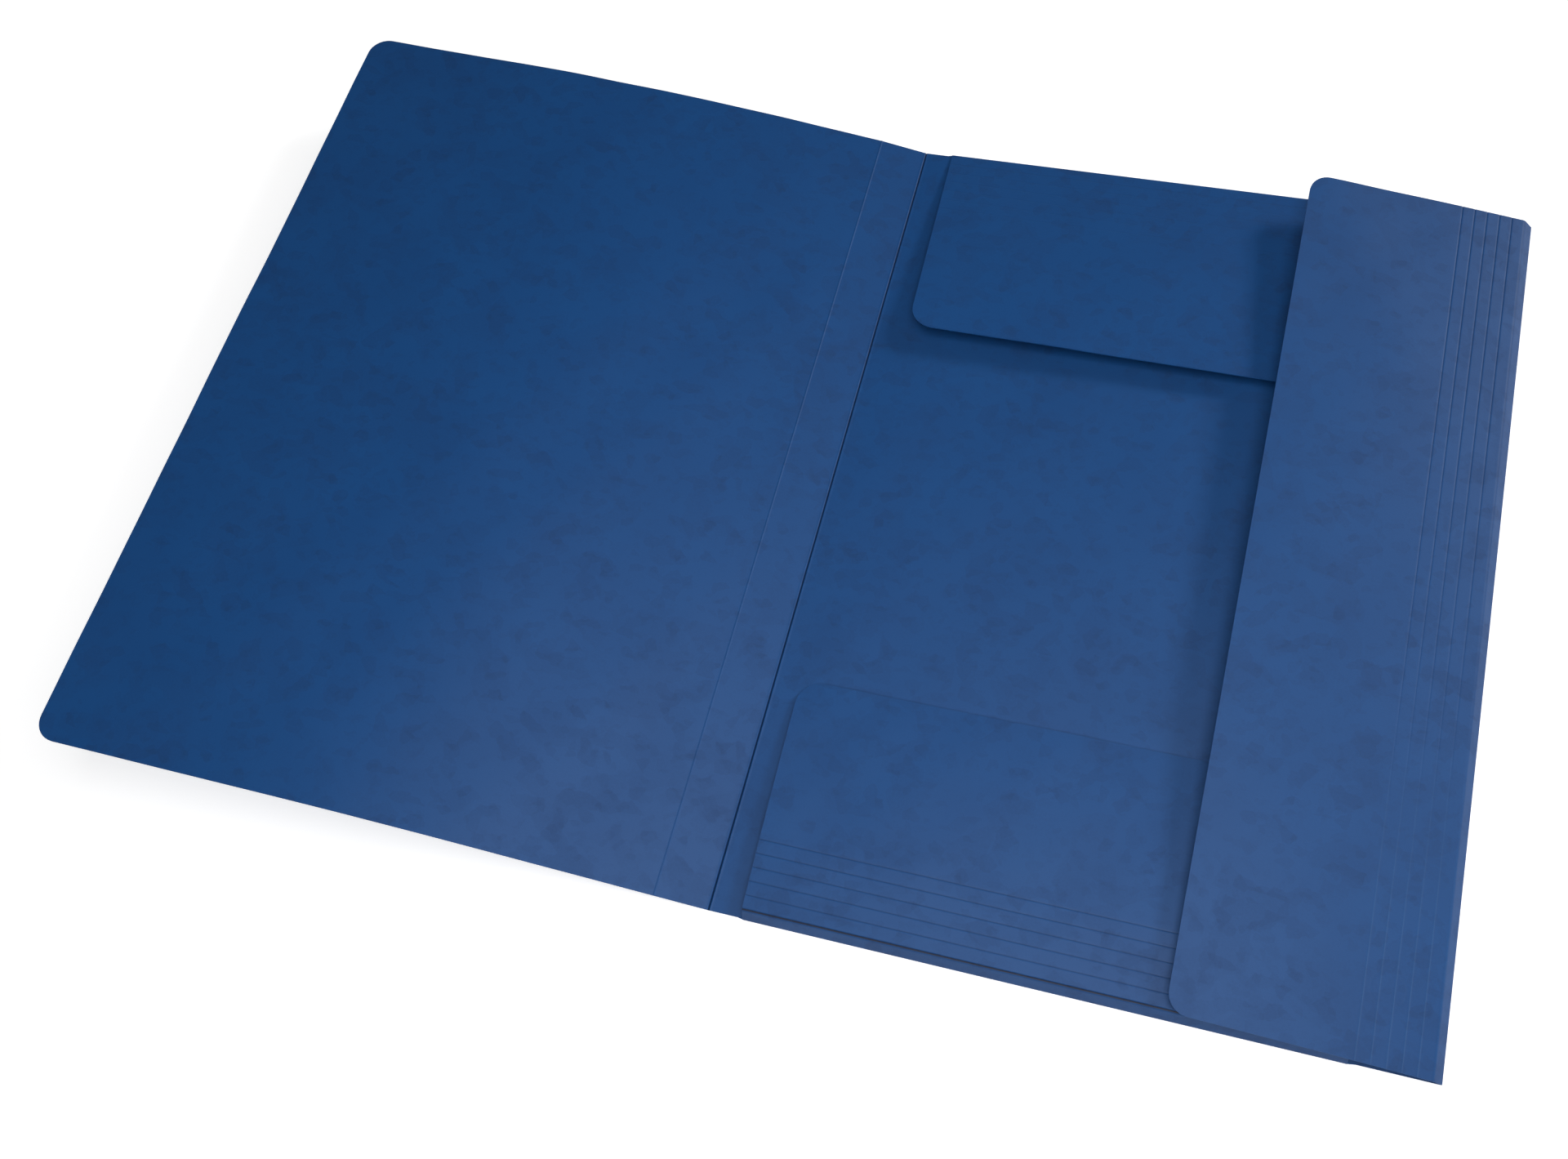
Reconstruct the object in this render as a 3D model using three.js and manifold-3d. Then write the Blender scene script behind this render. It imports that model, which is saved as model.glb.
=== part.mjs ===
// An A4 three-flap folder of glazed pressboard, lying open on its back, with its flaps folded in.
// One die-cut sheet makes every board piece. Millimetres, +Z up.
// The origin is the centre of the back panel's underside. Pieces are drawn from the back crease, where
// x is 0, and the whole is then moved by half the panel. The length runs along Y, and the cover lies at -X.
import * as THREE from "three";
import Module from "manifold-3d";

// Board
const board = 0.5;
const creaseGap = 0.3;

// Back panel and the two creases of the spine
const panelWidth = 240;
const panelLength = 320;
const spineWidth = 19.2;
const spineLift = 13.5;

// Front cover: how steeply it leaves the spine and ends, and where it bends, at its two ends
const coverWidth = 225;
const coverCorner = 8;
const coverNear = { start: 14.5, end: 5, bendFrom: 0.27 * coverWidth, bendTo: 0.62 * coverWidth };
const coverFar = { start: 10, end: 4.3, bendFrom: 0.09 * coverWidth, bendTo: 0.8 * coverWidth };

// Score lines of the flaps, so that they can stand up as the folder fills
const scorePitch = 4.8;
const scoreCount = 6;
const scoreDepth = 0.15;
const scoreHalfWidth = 0.35;

// Side flap: the strip at its fold leans in, and the flap rises from it to a lifted free edge
const sideFlapDepth = 87.2;
const sideFlapTaper = 1.4;
const sideFlapCorner = 7;
const sideStripLean = 48;
const sideFlapNear = { start: 6.5, end: 0, bendFrom: 0, bendTo: sideFlapDepth };
const sideFlapFar = { start: 10.5, end: 8.5, bendFrom: 0, bendTo: sideFlapDepth };

// Top flap: folded down at its first score, lifted at its free edge, less so under the side flap
const topFlapDepth = 88;
const topFlapInset = 11.2;
const topFlapFreeInset = 14.6;
const topFlapLiftNear = 5.6;
const topFlapLiftFar = 3.8;
const topFoldRise = 0.3;

// Bottom flap: the strip at its fold stands up, and the flap comes down to the panel
const bottomFlapDepth = 88;
const bottomFlapInset = 12.6;
const bottomFlapFreeInset = 9.9;
const bottomStripLean = 57;
const bottomFlapFall = { start: 1, end: 3.8, bendFrom: 0, bendTo: bottomFlapDepth };

// Both end flaps
const endFlapFarInset = 28;
const endFlapCorner = 9;

// Eyelets for two closing elastics, their lower flanges pressed flush into the board
const eyeletBore = 5.2;
const eyeletWall = 0.5;
const eyeletFlange = 11;
const eyeletFlangeThickness = 0.2;
const eyeletPlay = 0.3;
const eyeletRollHeight = 0.4;
const eyeletFromSide = 19.5;
const eyeletFromEnd = 24;

// Steps along curved stretches
const bendSteps = 16;
const cornerSteps = 6;
const lengthSteps = 8;
const roundSteps = 32;

// Heights of the back panel's two faces
const outerFace = 0;
const innerFace = outerFace + board;

// Lines that pieces share: the two ends, and the creases along Y as across and up
const halfLength = panelLength / 2;
const backCrease = new THREE.Vector2(0, innerFace);
const sideCrease = new THREE.Vector2(panelWidth, innerFace);
const eyeletPlaces = [
  new THREE.Vector2(panelWidth - eyeletFromSide, -halfLength + eyeletFromEnd),
  new THREE.Vector2(panelWidth - eyeletFromSide, halfLength - eyeletFromEnd),
];

const radians = THREE.MathUtils.degToRad;
const solids = await Module();
solids.setup();

const boardColour = 0x264a7c;
const boardMaterial = () => new THREE.MeshStandardMaterial({ color: boardColour, roughness: 0.5, metalness: 0 });
const eyeletMaterial = () => new THREE.MeshStandardMaterial({ color: 0xc9ccd0, roughness: 0.3, metalness: 1 });

// A sheet's slope at a distance from its start, in degrees: steady, then easing over its bend, then steady.
function slopeAt(bend, distance) {
  const share = THREE.MathUtils.smoothstep(distance, bend.bendFrom, bend.bendTo);
  return THREE.MathUtils.lerp(bend.start, bend.end, share);
}

// The point reached along a bent sheet, as run and rise from its start.
function along(bend, distance) {
  const pieces = 60;
  const step = distance / pieces;
  const point = new THREE.Vector2(0, 0);
  for (let i = 0; i < pieces; i += 1) {
    const slope = radians(slopeAt(bend, (i + 0.5) * step));
    point.x += Math.cos(slope) * step;
    point.y += Math.sin(slope) * step;
  }
  return point;
}

// How far a rounded corner has cut into the sheet's end, at a distance from the sheet's start.
function cornerCut(distance, depth, radius) {
  const into = Math.max(0, distance - (depth - radius));
  return radius - Math.sqrt(Math.max(0, radius * radius - into * into));
}

// Distances from the sheet's start to its rows: even steps, both sides of each score, and the corners.
function rowDistances(from, depth, radius, scores) {
  const rows = [];
  for (let i = 0; i <= bendSteps; i += 1) {
    rows.push(THREE.MathUtils.lerp(from, depth - radius, i / bendSteps));
  }
  for (let i = 1; i <= cornerSteps; i += 1) {
    rows.push(depth - radius + radius * Math.sin((i / cornerSteps) * (Math.PI / 2)));
  }
  const clear = rows.filter((row) => scores.every((score) => Math.abs(row - score) > 2 * scoreHalfWidth));
  for (const score of scores) {
    clear.push(score - scoreHalfWidth, score, score + scoreHalfWidth);
  }
  return clear.sort((a, b) => a - b);
}

// A closed board between two end sections. Each row has its two ends along the crease, and for each end section
// an inner and an outer point. toWorld turns (across, along, up) into the model's own axes.
function ruledBoard(rows, endLow, endHigh, toWorld) {
  const positions = [];
  const indices = [];
  const columns = lengthSteps + 1;
  const at = (row, column, face) => (row * columns + column) * 2 + face;
  for (const row of rows) {
    for (let column = 0; column < columns; column += 1) {
      const place = THREE.MathUtils.lerp(row.low, row.high, column / lengthSteps);
      const share = (place - endLow) / (endHigh - endLow);
      for (const face of ["inner", "outer"]) {
        const point = row.lowSection[face].clone().lerp(row.highSection[face], share);
        positions.push(...toWorld(point.x, place, point.y).toArray());
      }
    }
  }
  const quad = (a, b, c, d) => indices.push(a, b, c, a, c, d);
  const lastRow = rows.length - 1;
  for (let row = 0; row < lastRow; row += 1) {
    for (let column = 0; column < lengthSteps; column += 1) {
      quad(at(row, column, 1), at(row, column + 1, 1), at(row + 1, column + 1, 1), at(row + 1, column, 1));
      quad(at(row, column, 0), at(row + 1, column, 0), at(row + 1, column + 1, 0), at(row, column + 1, 0));
    }
    quad(at(row, 0, 0), at(row, 0, 1), at(row + 1, 0, 1), at(row + 1, 0, 0));
    const next = row + 1;
    quad(at(row, lengthSteps, 1), at(row, lengthSteps, 0), at(next, lengthSteps, 0), at(next, lengthSteps, 1));
  }
  for (let column = 0; column < lengthSteps; column += 1) {
    quad(at(0, column, 0), at(0, column + 1, 0), at(0, column + 1, 1), at(0, column, 1));
    quad(at(lastRow, column, 1), at(lastRow, column + 1, 1), at(lastRow, column + 1, 0), at(lastRow, column, 0));
  }
  const geometry = new THREE.BufferGeometry();
  geometry.setAttribute("position", new THREE.Float32BufferAttribute(positions, 3));
  geometry.setIndex(signedVolume(positions, indices) < 0 ? indices.reverse() : indices);
  geometry.computeVertexNormals();
  return geometry;
}

// The volume that a closed surface holds, negative if its faces point in.
function signedVolume(positions, indices) {
  const corner = (i) => new THREE.Vector3().fromArray(positions, indices[i] * 3);
  let volume = 0;
  for (let i = 0; i < indices.length; i += 3) {
    volume += corner(i).dot(corner(i + 1).cross(corner(i + 2))) / 6;
  }
  return volume;
}

// A row's inner and outer points on a sheet that starts at `origin`, runs to the side of runSign and rises
// by its bend. outerSide is 1 where the outer face is the upper one, as on a folded flap, and -1 elsewhere.
function sheetRow({ origin, bend, distance, runSign, outerSide, notch = 0 }) {
  const reach = along(bend, distance);
  const slope = radians(slopeAt(bend, distance));
  const inner = new THREE.Vector2(origin.x + runSign * reach.x, origin.y + reach.y);
  const upward = new THREE.Vector2(-runSign * Math.sin(slope), Math.cos(slope));
  const outer = inner.clone().addScaledVector(upward, outerSide * (board - notch));
  return { inner, outer };
}

// The rows of a sheet that may be twisted: `near` and `far` are its bends at its crease's low and high ends.
function sheetRows({ origin, near, far, runSign, outerSide, from, depth, radius, scores, limits }) {
  return rowDistances(from, depth, radius, scores).map((distance) => {
    const notch = scores.some((score) => Math.abs(distance - score) < 0.01) ? scoreDepth : 0;
    const cut = cornerCut(distance, depth, radius);
    const { low, high } = limits(distance);
    const section = (bend) => sheetRow({ origin, bend, distance, runSign, outerSide, notch });
    return { low: low + cut, high: high - cut, lowSection: section(near), highSection: section(far) };
  });
}

// Sections run across X (spine, cover, side flap) or across Y (top and bottom flaps).
const acrossX = (across, lengthways, up) => new THREE.Vector3(across, lengthways, up);
const acrossY = (across, lengthways, up) => new THREE.Vector3(lengthways, across, up);

// The bend of a sheet that stays flat, at one slope.
const flat = (slope) => ({ start: slope, end: slope, bendFrom: 0, bendTo: 1 });

// A flat strip between two creases, that leaves its crease towards -X at a lean above the horizontal.
function creaseStrip({ origin, width, lean, outerSide }) {
  const bend = flat(lean);
  const rows = [creaseGap / 2, width - creaseGap / 2].map((distance) => {
    const section = sheetRow({ origin, bend, distance, runSign: -1, outerSide });
    return { low: -halfLength, high: halfLength, lowSection: section, highSection: section };
  });
  return ruledBoard(rows, -halfLength, halfLength, acrossX);
}

// A board cut from a block, with a hole for each eyelet's tube and a shallow recess for its lower flange.
function backPanel() {
  const width = panelWidth - creaseGap;
  const length = panelLength - creaseGap;
  const { Manifold } = solids;
  let panel = Manifold.cube([width, length, board]).translate([creaseGap / 2, -length / 2, outerFace]);
  for (const place of eyeletPlaces) {
    const hole = Manifold.cylinder(2 * board, eyeletBore / 2 + eyeletWall + eyeletPlay, -1, roundSteps);
    const recess = Manifold.cylinder(2 * eyeletFlangeThickness, eyeletFlange / 2 + eyeletPlay, -1, roundSteps);
    panel = panel.subtract(hole.translate([place.x, place.y, outerFace - board / 2]));
    panel = panel.subtract(recess.translate([place.x, place.y, outerFace - eyeletFlangeThickness]));
  }
  const mesh = panel.getMesh();
  const geometry = new THREE.BufferGeometry();
  geometry.setAttribute("position", new THREE.BufferAttribute(mesh.vertProperties, 3));
  geometry.setIndex(new THREE.BufferAttribute(mesh.triVerts, 1));
  geometry.computeVertexNormals();
  return geometry;
}

function spine() {
  return creaseStrip({ origin: backCrease, width: spineWidth, lean: spineLift, outerSide: -1 });
}

function frontCover() {
  const rise = radians(spineLift);
  const origin = new THREE.Vector2(
    backCrease.x - spineWidth * Math.cos(rise),
    backCrease.y + spineWidth * Math.sin(rise),
  );
  const rows = sheetRows({
    origin, near: coverNear, far: coverFar, runSign: -1, outerSide: -1, from: creaseGap / 2,
    depth: coverWidth, radius: coverCorner, scores: [], limits: () => ({ low: -halfLength, high: halfLength }),
  });
  return ruledBoard(rows, -halfLength, halfLength, acrossX);
}

function sideStrip() {
  return creaseStrip({ origin: sideCrease, width: scorePitch, lean: sideStripLean, outerSide: 1 });
}

// Distances of the score lines from the score that the flap is folded at.
const scoresPastFold = Array.from({ length: scoreCount - 1 }, (_, i) => (i + 1) * scorePitch);

function sideFlap() {
  const lean = radians(sideStripLean);
  const origin = new THREE.Vector2(
    sideCrease.x - scorePitch * Math.cos(lean),
    sideCrease.y + scorePitch * Math.sin(lean),
  );
  const depth = sideFlapDepth - scorePitch;
  const limits = (distance) => {
    const taper = (sideFlapTaper * distance) / depth;
    return { low: -halfLength + taper, high: halfLength - taper };
  };
  const rows = sheetRows({
    origin, near: sideFlapNear, far: sideFlapFar, runSign: -1, outerSide: 1, from: creaseGap / 2,
    depth, radius: sideFlapCorner, scores: scoresPastFold, limits,
  });
  return ruledBoard(rows, -halfLength, halfLength, acrossX);
}

// The two ends of an end flap's rows along X, between its insets at the fold and at the free edge.
function endFlapLimits(inset, freeInset, depth) {
  return (distance) => ({
    low: THREE.MathUtils.lerp(inset, freeInset, distance / depth),
    high: panelWidth - endFlapFarInset,
  });
}

function topFlap() {
  const origin = new THREE.Vector2(halfLength, innerFace + topFoldRise);
  const scores = [...scoresPastFold, scoreCount * scorePitch];
  const limits = endFlapLimits(topFlapInset, topFlapFreeInset, topFlapDepth);
  const rows = sheetRows({
    origin, near: flat(topFlapLiftNear), far: flat(topFlapLiftFar), runSign: -1, outerSide: 1, from: 0,
    depth: topFlapDepth, radius: endFlapCorner, scores, limits,
  });
  // The fold goes round the panel's edge and stops level with its outer face.
  const foldRow = (innerY, innerZ, outerY, outerZ) => {
    const section = { inner: new THREE.Vector2(innerY, innerZ), outer: new THREE.Vector2(outerY, outerZ) };
    return { ...limits(0), lowSection: section, highSection: section };
  };
  const inside = halfLength + creaseGap / 2;
  const outside = inside + board;
  const fold = [
    foldRow(inside, outerFace, outside, outerFace),
    foldRow(inside, innerFace, outside, innerFace + topFoldRise / 2),
  ];
  return ruledBoard([...fold, ...rows], topFlapInset, panelWidth - endFlapFarInset, acrossY);
}

function bottomFlap() {
  const lean = radians(bottomStripLean);
  const crease = new THREE.Vector2(-halfLength, innerFace);
  const stripRow = sheetRow({
    origin: crease, bend: flat(bottomStripLean), distance: creaseGap / 2, runSign: 1, outerSide: 1,
  });
  const origin = new THREE.Vector2(
    crease.x + scorePitch * Math.cos(lean),
    crease.y + scorePitch * Math.sin(lean),
  );
  const fall = { ...bottomFlapFall, start: -bottomFlapFall.start, end: -bottomFlapFall.end };
  const depth = bottomFlapDepth - scorePitch;
  const limits = endFlapLimits(bottomFlapInset, bottomFlapFreeInset, depth);
  const rows = sheetRows({
    origin, near: fall, far: fall, runSign: 1, outerSide: 1, from: 0,
    depth, radius: endFlapCorner, scores: scoresPastFold, limits,
  });
  // The fold's outer corner lies on the line that halves the angle between the strip and the flap.
  const halfTurn = (lean - radians(slopeAt(fall, 0))) / 2;
  const halving = lean - halfTurn + Math.PI / 2;
  const mitre = board / Math.cos(halfTurn);
  const corner = rows[0].lowSection;
  const mitreWay = new THREE.Vector2(Math.cos(halving), Math.sin(halving));
  corner.outer = corner.inner.clone().addScaledVector(mitreWay, mitre);
  rows[0].highSection = corner;
  const strip = { ...limits(0), lowSection: stripRow, highSection: stripRow };
  return ruledBoard([strip, ...rows], bottomFlapInset, panelWidth - endFlapFarInset, acrossY);
}

// A rolled metal eyelet: a tube through the board, a flat flange in its recess below and a rounded one above.
function eyelet() {
  const bore = eyeletBore / 2;
  const tube = bore + eyeletWall;
  const rim = eyeletFlange / 2;
  const flangeTop = outerFace + eyeletFlangeThickness;
  const top = innerFace + eyeletRollHeight;
  const profile = [
    new THREE.Vector2(bore, outerFace),
    new THREE.Vector2(rim, outerFace),
    new THREE.Vector2(rim, flangeTop),
    new THREE.Vector2(tube, flangeTop),
    new THREE.Vector2(tube, innerFace),
    new THREE.Vector2(rim, innerFace),
    new THREE.Vector2(rim - eyeletRollHeight / 2, top),
    new THREE.Vector2(bore + eyeletRollHeight, top),
    new THREE.Vector2(bore, innerFace),
    new THREE.Vector2(bore, outerFace),
  ];
  const geometry = new THREE.LatheGeometry(profile, roundSteps);
  geometry.rotateX(Math.PI / 2);
  return geometry;
}

const folder = new THREE.Group();
folder.position.x = -panelWidth / 2;

function add(name, geometry, material) {
  const mesh = new THREE.Mesh(geometry, material);
  mesh.name = name;
  folder.add(mesh);
  return mesh;
}

add("back_panel", backPanel(), boardMaterial());
add("spine", spine(), boardMaterial());
add("front_cover", frontCover(), boardMaterial());
add("side_fold_strip", sideStrip(), boardMaterial());
add("side_flap", sideFlap(), boardMaterial());
add("top_flap", topFlap(), boardMaterial());
add("bottom_flap", bottomFlap(), boardMaterial());
["lower_eyelet", "upper_eyelet"].forEach((name, i) => {
  const mesh = add(name, eyelet(), eyeletMaterial());
  mesh.position.set(eyeletPlaces[i].x, eyeletPlaces[i].y, 0);
});

export default folder;
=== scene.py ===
# %% [markdown]
# # An elastic folder of glazed pressboard
# The folder is one die-cut sheet of blue pressboard, creased and folded: a cover, a spine, a back panel
# and three flaps. The CAD model gives plain solids in the right places. Here each board becomes a fine
# mesh with rounded folds, pressed score lines and soft unevenness, and gets the look of glazed board.

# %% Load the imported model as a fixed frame
import math

import bpy
import numpy as np
from mathutils import Matrix, Vector


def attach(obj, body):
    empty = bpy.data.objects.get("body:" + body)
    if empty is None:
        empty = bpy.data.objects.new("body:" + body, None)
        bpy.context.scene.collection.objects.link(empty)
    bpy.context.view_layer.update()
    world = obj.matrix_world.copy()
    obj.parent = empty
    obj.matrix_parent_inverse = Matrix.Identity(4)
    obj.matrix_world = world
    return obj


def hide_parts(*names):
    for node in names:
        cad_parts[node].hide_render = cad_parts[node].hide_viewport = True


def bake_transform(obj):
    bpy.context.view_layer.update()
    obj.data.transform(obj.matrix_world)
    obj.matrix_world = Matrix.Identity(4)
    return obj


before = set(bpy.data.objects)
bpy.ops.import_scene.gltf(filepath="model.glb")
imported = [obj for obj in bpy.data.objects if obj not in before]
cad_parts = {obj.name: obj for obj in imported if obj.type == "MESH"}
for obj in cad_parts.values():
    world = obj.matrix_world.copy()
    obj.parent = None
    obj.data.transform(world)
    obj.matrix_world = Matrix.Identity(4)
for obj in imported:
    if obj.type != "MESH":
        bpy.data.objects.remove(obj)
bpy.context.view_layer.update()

# %% [markdown]
# ## Sizes
# Everything is in metres, in the CAD frame: the origin is the centre of the back panel's underside, X runs
# from the cover to the side flap, and Y along the spine. The sizes could be written in metres too, but a
# paper engineer thinks in millimetres, so they are turned to metres when a mesh is made. A crease is
# written as its place across the sheet and its height.

# %% The sheet's own sizes
MM = 0.001
BOARD = 0.5
PANEL_WIDTH, PANEL_LENGTH = 240.0, 320.0
HALF_LENGTH = PANEL_LENGTH / 2
BACK_CREASE = (-PANEL_WIDTH / 2, BOARD)
SPINE_WIDTH, SPINE_LIFT = 19.2, 13.5
COVER_WIDTH, COVER_CORNER = 225.0, 8.0
SCORE_PITCH, SCORE_COUNT = 4.8, 6
FOLD_RADIUS = 0.15
print(f"panel {PANEL_WIDTH} x {PANEL_LENGTH} mm, board {BOARD} mm thick")

# %% [markdown]
# ## How a board bends
# Board bends in one direction at a time, so its section is known once its slope is known at every
# distance from its crease. A Bezier curve could draw that section, but its length would only be roughly
# right. A slope that is followed step by step keeps the board's length exact, as paper does.

# %% Slopes of a board
def smooth(share):
    """Eases a share of 0 to 1, so that it starts and ends gently."""
    return share * share * (3 - 2 * share)


def steady(slope):
    """The slope of a board that stays flat."""
    return lambda distance: slope + 0.0 * distance


def easing(start, end, first, last):
    """A slope in degrees that eases from start to end between two distances along the board."""
    return lambda distance: start + (end - start) * smooth(np.clip((distance - first) / (last - first), 0, 1))


cover_near = easing(14.5, 5, 0.27 * COVER_WIDTH, 0.62 * COVER_WIDTH)
cover_far = easing(10, 4.3, 0.09 * COVER_WIDTH, 0.8 * COVER_WIDTH)
print("cover slope in its middle:", cover_near(COVER_WIDTH / 2), cover_far(COVER_WIDTH / 2))

# %% [markdown]
# ## How a board is drawn
# A board is a set of rows that cross it, each a step further from its crease. A row has an inner and an
# outer point, half a millimetre apart, at many places along the crease. A plane with a Solidify modifier
# would be quicker, but it can't press a line into one face more than the other, or turn a fold with a
# sharp inside and a round outside. Rows lie close together at folds and scores, and far apart elsewhere.

# %% A board's section
TRACE_POINTS = 8001


def followed(part_of_slope, step):
    """How far a board has gone, across or up, at each point of a trace of its slope."""
    return np.concatenate([[0], np.cumsum((part_of_slope[1:] + part_of_slope[:-1]) / 2)]) * step


def section(origin, heading, slope, distances, relief, inner_relief):
    """Inner and outer points (across, up) at distances from a start, for a board that heads one way."""
    trace = np.linspace(0, distances.max(), TRACE_POINTS)
    angle = np.radians(slope(trace))
    step = trace[1] - trace[0]
    across = np.interp(distances, trace, followed(np.cos(angle), step))
    up = np.interp(distances, trace, followed(np.sin(angle), step))
    base = np.stack([origin[0] + heading * across, origin[1] + up], 1)
    end = np.radians(slope(distances))
    outward = np.stack([heading * np.sin(end), -np.cos(end)], 1)
    return base - outward * inner_relief[:, None], base + outward * (BOARD + relief[:, None])


flat_try = section((0.0, 0.0), 1, steady(0.0), np.array([0.0, 10.0]), np.zeros(2), np.zeros(2))
print("a flat 10 mm board: inner", flat_try[0].tolist(), "outer", flat_try[1].tolist())

# %% Pressed lines, and rows close together beside them
PRESS_SHARPNESS = 1.4
LINE_REACH = 0.75
LINE_STEPS = LINE_REACH * np.array([-1, -0.66, -0.4, -0.2, -0.08, 0, 0.08, 0.2, 0.4, 0.66, 1])
LINE_CLEARANCE = 1.1 * LINE_REACH
CORNER_STEPS = 10


def pressed(distances, places, depth, half_width):
    """How far pressed lines at some places push a face in, as a negative height."""
    push = np.zeros(len(distances))
    for place in places:
        share = np.clip(np.abs(distances - place) / half_width, 0, 1)
        push -= depth * (1 - share) ** PRESS_SHARPNESS
    return push


def close_rows(first, last, pitch, lines):
    """Distances from first to last, at a wide pitch, with close rows about each pressed line."""
    rows = list(np.linspace(first, last, max(2, int(round((last - first) / pitch)) + 1)))
    for line in lines:
        rows = [row for row in rows if abs(row - line) > LINE_CLEARANCE or row in (first, last)]
        rows += [line + step for step in LINE_STEPS if first < line + step < last]
    return np.array(sorted(set(np.round(rows, 5))))


def round_corner_rows(radius):
    """Rows that follow a rounded corner of some radius, from where it starts."""
    return radius * np.sin(np.linspace(0, math.pi / 2, CORNER_STEPS)[1:])


print("rows about one line in 20 mm:", len(close_rows(0.0, 20.0, 5.0, [10.0])))

# %% [markdown]
# ## Unevenness
# A board that has been handled is never flat, and its sheen shows it. A Displace modifier with a cloud
# texture could do this, but it would part the boards where they meet. A few long sine waves over the
# whole sheet, which die away towards the creases, leave every seam closed and are the same each run.

# %% Long soft waves of a tenth of a millimetre or two
WAVES = ((0.11, 97.0, 151.0, 0.7), (0.08, 61.0, -113.0, 2.1), (0.05, -43.0, 71.0, 4.0), (0.03, 29.0, 37.0, 1.2))
WAVE_HEIGHT = sum(wave[0] for wave in WAVES)


def unevenness(across, along):
    """How far the handled board stands off its plain shape, at places on the flat sheet."""
    rise = 0.0
    for height, pitch_x, pitch_y, phase in WAVES:
        rise = rise + height * np.sin(2 * math.pi * (across / pitch_x + along / pitch_y) + phase)
    return rise


def held_flat(distances, edge, reach=12.0):
    """0 at a crease and 1 well away from it, so that neighbouring boards meet."""
    return smooth(np.clip((distances - edge) / reach, 0, 1))


print(f"waves add up to {WAVE_HEIGHT:.2f} mm at most")

# %% [markdown]
# ## A mesh from rows
# Each point also remembers its place on the flat sheet, so that the pattern of the paper runs on across
# every fold, and how much painted shade darkens a crease or score line there. UV maps could carry the
# first, but the folds would need seams. Point attributes need none, and the materials read them by name.

# %% Faces of a board
def board_quads(cells):
    """Faces of a board's two sides and of its rims, as corners of an inner and then an outer grid."""
    rows, columns = cells.shape[0] + 1, cells.shape[1] + 1
    outer = rows * columns
    index = np.arange(outer).reshape(rows, columns)
    faces, rims = [], []
    for r, c in np.argwhere(cells):
        a, b, d, e = index[r, c], index[r, c + 1], index[r + 1, c + 1], index[r + 1, c]
        faces.append((a, b, d, e))
        faces.append((a + outer, e + outer, d + outer, b + outer))
        sides = (((r - 1, c), a, b), ((r, c + 1), b, d), ((r + 1, c), d, e), ((r, c - 1), e, a))
        for (beside_row, beside_column), first, last in sides:
            within = 0 <= beside_row < rows - 1 and 0 <= beside_column < columns - 1
            if not (within and cells[beside_row, beside_column]):
                rims.append((last, first, first + outer, last + outer))
    return faces, rims


def six_volumes(points, quads):
    """Six times the volume inside some quads, below 0 where they face inwards."""
    a, b, d, e = (points[quads[:, corner]] for corner in range(4))
    return np.sum(a * np.cross(b, d)) + np.sum(a * np.cross(d, e))


one_cell = board_quads(np.ones((1, 1), bool))
print("one cell of board:", len(one_cell[0]), "faces and", len(one_cell[1]), "rims")

# %% A closed board with its marks
SHARP_EDGE = math.radians(40)
FACE_MATERIAL, RIM_MATERIAL = 0, 1


def remember(mesh, name, kind, field, values):
    """Writes a value at each point of a mesh, for the materials to read."""
    mesh.attributes.new(name, kind, "POINT")
    mesh.attributes[name].data.foreach_set(field, values.astype(np.float32).ravel())


def board_object(name, inner, outer, sheet, cells=None, painted_line_shade=0.0):
    """A closed board from grids of inner and outer points in mm.

    sheet is each point's place on the flat sheet. The other grid says how much painted shade darkens a
    crease or score line there, from 0 to 1, or below 0 where the line is painted paler.
    """
    rows, columns = inner.shape[:2]
    if cells is None:
        cells = np.ones((rows - 1, columns - 1), bool)
    faces, rims = board_quads(cells)
    quads = np.array(faces + rims)
    used = np.unique(quads)
    new_index = np.full(2 * rows * columns, -1)
    new_index[used] = np.arange(len(used))
    quads = new_index[quads]
    points = (np.concatenate([inner.reshape(-1, 3), outer.reshape(-1, 3)]) * MM)[used]
    places = np.concatenate([sheet.reshape(-1, 2)] * 2)[used]
    line_shades = np.concatenate([np.broadcast_to(painted_line_shade, (rows, columns)).ravel()] * 2)[used]
    volume = six_volumes(points, quads) / 6
    if volume < 0:
        quads = quads[:, ::-1]
    mesh = bpy.data.meshes.new(name)
    mesh.from_pydata(points.tolist(), [], quads.tolist())
    remember(mesh, "sheet", "FLOAT_VECTOR", "vector", np.column_stack([places, np.zeros(len(places))]))
    remember(mesh, "painted_line_shade", "FLOAT", "value", line_shades)
    mesh.shade_smooth()
    mesh.set_sharp_from_angle(angle=SHARP_EDGE)
    finish = np.full(len(quads), FACE_MATERIAL, np.int32)
    finish[len(faces):] = RIM_MATERIAL
    mesh.polygons.foreach_set("material_index", finish)
    mesh.update()
    piece = bpy.data.objects.new(name, mesh)
    bpy.context.scene.collection.objects.link(piece)
    print(f"{name}: {len(points)} points, {len(quads)} faces, {abs(volume) * 1e9:.0f} cubic mm")
    return piece


# %% Places along the length, shared by every board that meets another
LENGTH_STEPS = 64
along_sheet = np.linspace(-HALF_LENGTH, HALF_LENGTH, LENGTH_STEPS + 1)


def ruled(near, far, along):
    """Points between a near section (at the low end of Y) and a far one, at places along Y."""
    share = (along + HALF_LENGTH) / PANEL_LENGTH
    across = near[:, None, 0] * (1 - share) + far[:, None, 0] * share
    up = near[:, None, 1] * (1 - share) + far[:, None, 1] * share
    return np.stack([across, np.broadcast_to(along, across.shape), up], -1)


def lift(points, amount):
    """Raises a grid of points by a grid of amounts."""
    raised = points.copy()
    raised[..., 2] += amount
    return raised


def corner_cut(distance, depth, radius):
    """How far a rounded corner has cut into a board's end, at a distance from its crease."""
    into = np.maximum(0, distance - (depth - radius))
    return radius - np.sqrt(np.maximum(0, radius * radius - into * into))


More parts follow.
